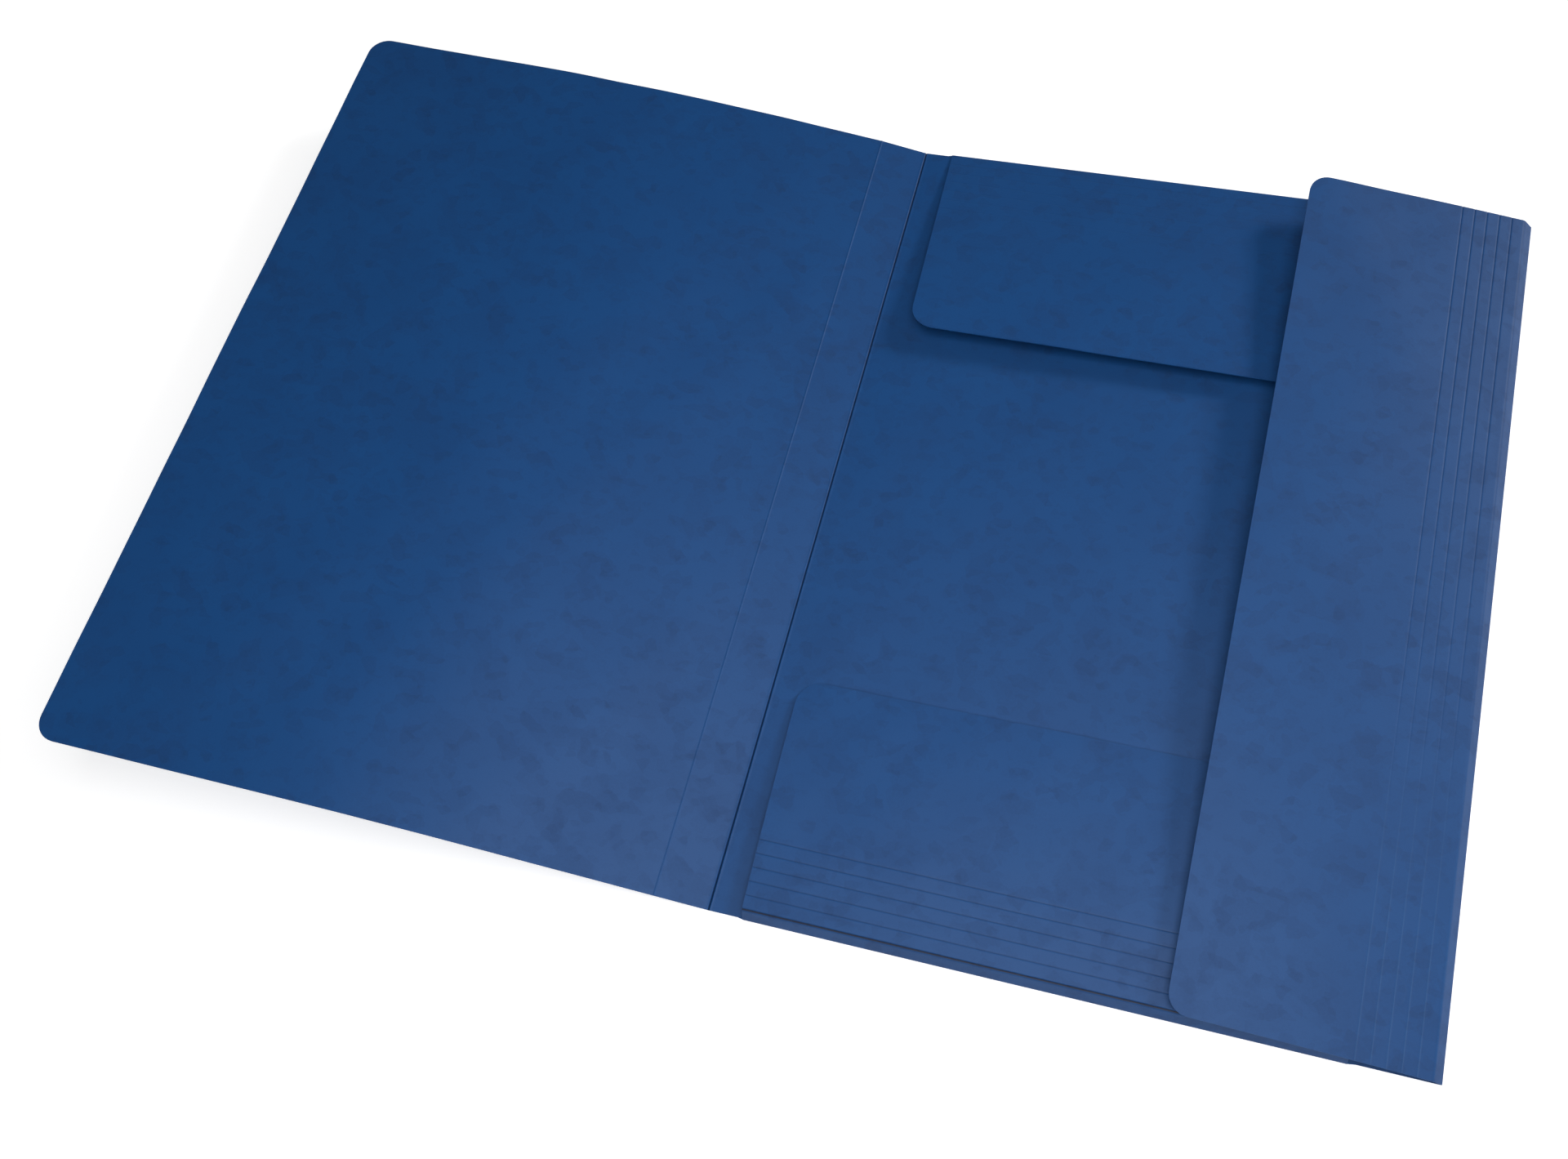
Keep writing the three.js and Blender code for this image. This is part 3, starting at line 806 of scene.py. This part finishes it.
# Where the board is cut, its pulp is rough and unglazed, and so it looks lighter.
CUT_BLUES = {
    "pulp": "#155B9C", "cloud": "#1C66A8", "fleck": "#114F8C", "pressed": "#082D5E", "pale_line": "#5C8CC0",
}
print("fleck sizes:", [fleck[0] for fleck in FLECKS], "mm")

# %% Flecks with torn outlines, and grain
def torn_places(tree, sheet):
    """Places on the sheet, pushed about by a fine noise, which tears the outline of what is drawn there."""
    wander = add_node(tree, "ShaderNodeTexNoise", {"Vector": sheet, "Scale": 1 / TEAR_SIZE, "Detail": 2.0})
    shift = add_node(
        tree, "ShaderNodeVectorMath", {0: wander.outputs["Color"], 1: (0.5, 0.5, 0.5)}, operation="SUBTRACT",
    )
    pushed = add_node(tree, "ShaderNodeVectorMath", {0: shift.outputs[0], "Scale": TEAR_REACH}, operation="SCALE")
    return add_node(tree, "ShaderNodeVectorMath", {0: sheet, 1: pushed.outputs[0]}, operation="ADD").outputs[0]


def mottling(tree, sheet):
    """How dark the flecks and the grain make each place, from 0 to 1."""
    torn = torn_places(tree, sheet)
    grain = add_node(
        tree, "ShaderNodeTexNoise", {"Vector": sheet, "Scale": 1 / GRAIN_SIZE, "Detail": 3.0},
    ).outputs[0]
    amount = add_node(
        tree, "ShaderNodeMapRange",
        {"Value": grain, "From Min": 0.3, "From Max": 0.7, "To Min": -GRAIN_SHARE, "To Max": GRAIN_SHARE},
    ).outputs[0]
    flecked = None
    for size, turn, rarity, weight in FLECKS:
        placed = add_node(
            tree, "ShaderNodeMapping",
            {
                "Vector": torn, "Rotation": (0, 0, math.radians(turn)),
                "Scale": (1 / size, FLECK_STRETCH / size, 1),
            },
        )
        flake = add_node(
            tree, "ShaderNodeTexVoronoi", {"Vector": placed.outputs[0], "Scale": 1.0},
            voronoi_dimensions="2D", feature="SMOOTH_F1",
        )
        flake.inputs["Smoothness"].default_value = FLECK_SOFTNESS
        chance = add_node(tree, "ShaderNodeSeparateColor", {"Color": flake.outputs["Color"]}).outputs[0]
        fleck = add_node(
            tree, "ShaderNodeMapRange",
            {"Value": chance, "From Min": rarity, "From Max": rarity + FLECK_EDGE, "To Max": weight},
        ).outputs[0]
        if flecked is not None:
            fleck = add_node(tree, "ShaderNodeMath", {0: flecked, 1: fleck}, operation="ADD").outputs[0]
        flecked = fleck
    return add_node(tree, "ShaderNodeMath", {0: flecked, 1: amount}, operation="ADD", use_clamp=True).outputs[0]


print("flecks of", len(FLECKS), "sizes")

# %% The colour of the board
def blue_of(tree, sheet, amount, blues):
    """The pulp's blue, clouded, flecked, darkened by painted shade along creases and scores, and paler along some
    lines.
    """
    cloud = add_node(
        tree, "ShaderNodeTexNoise", {"Vector": sheet, "Scale": 1 / CLOUD_SIZE, "Detail": 3.0},
    ).outputs[0]
    clouded = add_node(
        tree, "ShaderNodeMapRange", {"Value": cloud, "From Min": 0.35, "From Max": 0.65, "To Max": CLOUD_SHARE},
    ).outputs[0]
    # A line's value darkens the colour with painted shade, and below 0 it makes the line paler.
    painted_line_shade = add_node(
        tree, "ShaderNodeAttribute", attribute_name="painted_line_shade", attribute_type="GEOMETRY",
    ).outputs["Fac"]
    pale_line = add_node(tree, "ShaderNodeMath", {0: painted_line_shade, 1: -1.0}, operation="MULTIPLY", use_clamp=True).outputs[0]
    colour = linear(blues["pulp"])
    for share, blue in ((clouded, "cloud"), (amount, "fleck"), (painted_line_shade, "pressed"), (pale_line, "pale_line")):
        colour = add_node(
            tree, "ShaderNodeMix", {"Factor": share, "A": colour, "B": linear(blues[blue])}, data_type="RGBA",
        ).outputs["Result"]
    return colour


print("blue of the pulp:", GLAZED_BLUES["pulp"], "and of its flecks:", GLAZED_BLUES["fleck"])

# %% The relief of the board
def relief_of(tree, sheet, amount):
    """Bumps of the eyelet's imprint, of the tooth and of the flecks, which lie a little deeper."""
    from_eyelet = add_node(
        tree, "ShaderNodeVectorMath", {0: sheet, 1: IMPRINT_PLACE}, operation="DISTANCE",
    ).outputs["Value"]
    off_ring = add_node(tree, "ShaderNodeMath", {0: from_eyelet, 1: IMPRINT_RADIUS}, operation="SUBTRACT")
    off_ring = add_node(tree, "ShaderNodeMath", {0: off_ring.outputs[0]}, operation="ABSOLUTE")
    imprint = add_node(
        tree, "ShaderNodeMapRange",
        {"Value": off_ring.outputs[0], "From Max": IMPRINT_WIDTH, "To Min": 1.0, "To Max": 0.0},
    )
    tooth = add_node(tree, "ShaderNodeTexNoise", {"Vector": sheet, "Scale": 1 / TOOTH_SIZE, "Detail": 2.0})
    imprint_bump = add_node(
        tree, "ShaderNodeBump", {"Height": imprint.outputs[0], "Strength": 0.5, "Distance": IMPRINT_HEIGHT * MM},
    )
    tooth_bump = add_node(
        tree, "ShaderNodeBump",
        {
            "Height": tooth.outputs[0], "Strength": 0.5, "Distance": TOOTH_HEIGHT * MM,
            "Normal": imprint_bump.outputs[0],
        },
    )
    return add_node(
        tree, "ShaderNodeBump",
        {"Height": amount, "Strength": 0.15, "Distance": FLECK_HEIGHT * MM, "Normal": tooth_bump.outputs[0]},
        invert=True,
    ).outputs[0]


print("heights of imprint, tooth and flecks:", IMPRINT_HEIGHT, TOOTH_HEIGHT, FLECK_HEIGHT, "mm")

# %% The glazed face and the cut edge
BOARD_IOR = 1.47
GLAZE_ROUGHNESS, CUT_ROUGHNESS = 0.56, 0.8
PULP_SMOOTHER, FLECK_ROUGHER = 0.02, 0.05


def pressboard(name, blues, roughness):
    """Dyed pulp, pressed and glazed: deep blue with darker flecks, soft sheen and a fine tooth."""
    material, tree = new_material(name)
    sheet = add_node(
        tree, "ShaderNodeAttribute", attribute_name="sheet", attribute_type="GEOMETRY",
    ).outputs["Vector"]
    amount = mottling(tree, sheet)
    rough = add_node(
        tree, "ShaderNodeMapRange",
        {"Value": amount, "To Min": roughness - PULP_SMOOTHER, "To Max": roughness + FLECK_ROUGHER},
    ).outputs[0]
    shader = add_node(
        tree, "ShaderNodeBsdfPrincipled",
        {
            "Base Color": blue_of(tree, sheet, amount, blues), "Roughness": rough, "IOR": BOARD_IOR,
            "Normal": relief_of(tree, sheet, amount),
        },
    )
    add_node(tree, "ShaderNodeOutputMaterial", {"Surface": shader.outputs[0]})
    return material


glazed = pressboard("glazed dyed pressboard", GLAZED_BLUES, GLAZE_ROUGHNESS)
cut_edge = pressboard("cut edge of dyed pressboard", CUT_BLUES, CUT_ROUGHNESS)
boards = (cover, back_crease, front_crease, folded_sheet, side_fold, side_flap)
for piece in boards:
    piece.data.materials.append(glazed)
    piece.data.materials.append(cut_edge)
print("pressboard on", len(boards), "pieces")

# %% [markdown]
# ## Nickel plate
# The eyelets are pressed from steel strip, plated with nickel and tumbled smooth. That gives the eye a
# warm bright grey with slightly soft reflections that vary from spot to spot. A plain metal with one
# roughness looks like plastic film, so a fine noise moves both the roughness and the surface.

# %% Nickel plate on the eyelets
NICKEL_GREY = "#C9C7C2"
WEAR_SPOTS_PER_METRE = 900.0
NICKEL_SMOOTHEST, NICKEL_ROUGHEST = 0.16, 0.34
WEAR_DEPTH = 0.02

plate, plate_tree = new_material("nickel-plated steel")
place = add_node(plate_tree, "ShaderNodeTexCoord").outputs["Object"]
wear = add_node(
    plate_tree, "ShaderNodeTexNoise", {"Vector": place, "Scale": WEAR_SPOTS_PER_METRE, "Detail": 4.0},
).outputs[0]
rough = add_node(
    plate_tree, "ShaderNodeMapRange", {"Value": wear, "To Min": NICKEL_SMOOTHEST, "To Max": NICKEL_ROUGHEST},
).outputs[0]
bump = add_node(plate_tree, "ShaderNodeBump", {"Height": wear, "Strength": 0.1, "Distance": WEAR_DEPTH * MM})
metal = add_node(
    plate_tree, "ShaderNodeBsdfPrincipled",
    {"Base Color": linear(NICKEL_GREY), "Metallic": 1.0, "Roughness": rough, "Normal": bump.outputs[0]},
)
add_node(plate_tree, "ShaderNodeOutputMaterial", {"Surface": metal.outputs[0]})
for ring in rings:
    ring.data.materials.append(plate)
print(f"nickel on {len(rings)} eyelets, in spots {1000 / WEAR_SPOTS_PER_METRE:.1f} mm across")

# %% [markdown]
# ## The studio
# The folder lies on a white floor that runs far beyond the picture. More light would turn the floor
# white, but it would bleach the board as well. So the floor and the room glow only for rays that look at
# them, straight or in a reflection, and two soft lamps light the board at a plain level. The glow is
# weaker near the folder, which leaves its soft shadow on the floor.

# %% The floor
FLOOR_WHITE = "#F4F4F4"
FLOOR_GLOW, GLOW_GROWS_FROM, GLOW_FULL_AT = 0.6, 0.3, 1.2
FLOOR_SIZE, FLOOR_HEIGHT = 12, -0.0003


def rays_that_see(tree):
    """1 for a ray that shows the background, to the camera or in a reflection, and 0 for one that lights."""
    rays = add_node(tree, "ShaderNodeLightPath").outputs
    seen = rays["Is Camera Ray"]
    for other in ("Is Glossy Ray", "Is Transmission Ray"):
        seen = add_node(tree, "ShaderNodeMath", {0: seen, 1: rays[other]}, operation="MAXIMUM").outputs[0]
    return seen


paint, paint_tree = new_material("white painted studio floor")
place = add_node(paint_tree, "ShaderNodeTexCoord").outputs["Object"]
away = add_node(paint_tree, "ShaderNodeVectorMath", {0: place}, operation="LENGTH").outputs["Value"]
level = add_node(
    paint_tree, "ShaderNodeMapRange",
    {
        "Value": away, "From Min": GLOW_GROWS_FROM, "From Max": GLOW_FULL_AT,
        "To Min": FLOOR_GLOW, "To Max": 1.0,
    },
).outputs[0]
glow = add_node(paint_tree, "ShaderNodeMath", {0: rays_that_see(paint_tree), 1: level}, operation="MULTIPLY")
matte = add_node(paint_tree, "ShaderNodeBsdfDiffuse", {"Color": linear(FLOOR_WHITE)})
shine = add_node(paint_tree, "ShaderNodeEmission", {"Strength": glow.outputs[0]})
both = add_node(paint_tree, "ShaderNodeAddShader", {0: matte.outputs[0], 1: shine.outputs[0]})
add_node(paint_tree, "ShaderNodeOutputMaterial", {"Surface": both.outputs[0]})

bpy.ops.mesh.primitive_plane_add(size=FLOOR_SIZE, location=(0, 0, FLOOR_HEIGHT))
floor = bpy.context.object
floor.name = "floor"
floor.data.materials.append(paint)
print(f"floor {FLOOR_SIZE} m wide")

# %% The room: white walls that fade into a dim ceiling
ROOM_LIGHT = 0.06
WALL_TOP, CEILING_FROM = 0.14, 0.3

world = bpy.data.worlds.new("pale studio")
bpy.context.scene.world = world
world.use_nodes = True
room = world.node_tree
room.nodes.clear()
direction = add_node(room, "ShaderNodeTexCoord").outputs["Generated"]
height = add_node(room, "ShaderNodeSeparateXYZ", {"Vector": direction}).outputs["Z"]
wall = add_node(
    room, "ShaderNodeMapRange",
    {"Value": height, "From Min": WALL_TOP, "From Max": CEILING_FROM, "To Min": 1.0, "To Max": 0.0},
).outputs[0]
white = add_node(room, "ShaderNodeMath", {0: rays_that_see(room), 1: wall}, operation="MULTIPLY").outputs[0]
strength = add_node(
    room, "ShaderNodeMapRange", {"Value": white, "To Min": ROOM_LIGHT, "To Max": 1.0},
).outputs[0]
sky = add_node(room, "ShaderNodeBackground", {"Color": (1, 1, 1, 1), "Strength": strength})
add_node(room, "ShaderNodeOutputWorld", {"Surface": sky.outputs[0]})
print("room light:", ROOM_LIGHT)

# %% Two soft lamps
LAMP_SIZE = 0.5
# One stands right and behind and throws the soft shadows under the lifted flaps. The other is overhead,
# towards the front, and its reflection is the sheen on the near half of the board.
LAMPS = {
    "lamp right and behind": ((1.45, 1.19, 1.14), 18.5),
    "lamp overhead": ((0.02, -0.19, 0.58), 2.6),
}
for name, (place, power) in LAMPS.items():
    lamp = bpy.data.lights.new(name, "AREA")
    lamp.shape, lamp.size, lamp.energy = "SQUARE", LAMP_SIZE, power
    holder = bpy.data.objects.new(name, lamp)
    holder.location = place
    holder.rotation_mode = "QUATERNION"
    holder.rotation_quaternion = Vector(place).to_track_quat("Z", "Y")
    holder.visible_camera = False
    bpy.context.scene.collection.objects.link(holder)
    print(f"{name}: {power} W, {Vector(place).length:.2f} m away")

# %% [markdown]
# ## The camera
# The photograph's camera could be set by eye, but it can be worked out from the folder itself: the back
# panel is a known rectangle, so its four corners and its edges fix where the camera stood, which way it
# looked and how long its lens was. The picture's centre is a little off the lens's, so the lens shifts.

# %% Place the camera
PICTURE_WIDTH, PICTURE_HEIGHT, SENSOR_WIDTH = 1920, 1419, 36.0
FOCAL_PIXELS, CENTRE_X, CENTRE_Y = 1726.46, 1107.07, 716.47
CAMERA_PLACE = (0.01735, -0.20765, 0.47555)
CAMERA_RIGHT = Vector((0.96458078, 0.23752299, -0.11474641))
CAMERA_DOWN = Vector((0.17920140, -0.90924378, -0.37571614))
CAMERA_FORWARD = Vector((-0.19357368, 0.34184585, -0.91960353))

camera_data = bpy.data.cameras.new("camera")
camera_data.sensor_width = SENSOR_WIDTH
camera_data.lens = FOCAL_PIXELS * SENSOR_WIDTH / PICTURE_WIDTH
camera_data.shift_x = (PICTURE_WIDTH / 2 - CENTRE_X) / PICTURE_WIDTH
camera_data.shift_y = (CENTRE_Y - PICTURE_HEIGHT / 2) / PICTURE_WIDTH
camera_data.clip_start, camera_data.clip_end = 0.01, 100
camera = bpy.data.objects.new("camera", camera_data)
turn = Matrix((CAMERA_RIGHT, -CAMERA_DOWN, -CAMERA_FORWARD)).transposed()
camera.matrix_world = Matrix.Translation(CAMERA_PLACE) @ turn.to_4x4()
bpy.context.scene.collection.objects.link(camera)
bpy.context.scene.camera = camera
bpy.context.scene.view_settings.view_transform = "Standard"
print(f"lens {camera_data.lens:.2f} mm, shift {camera_data.shift_x:.4f}, {camera_data.shift_y:.4f}")
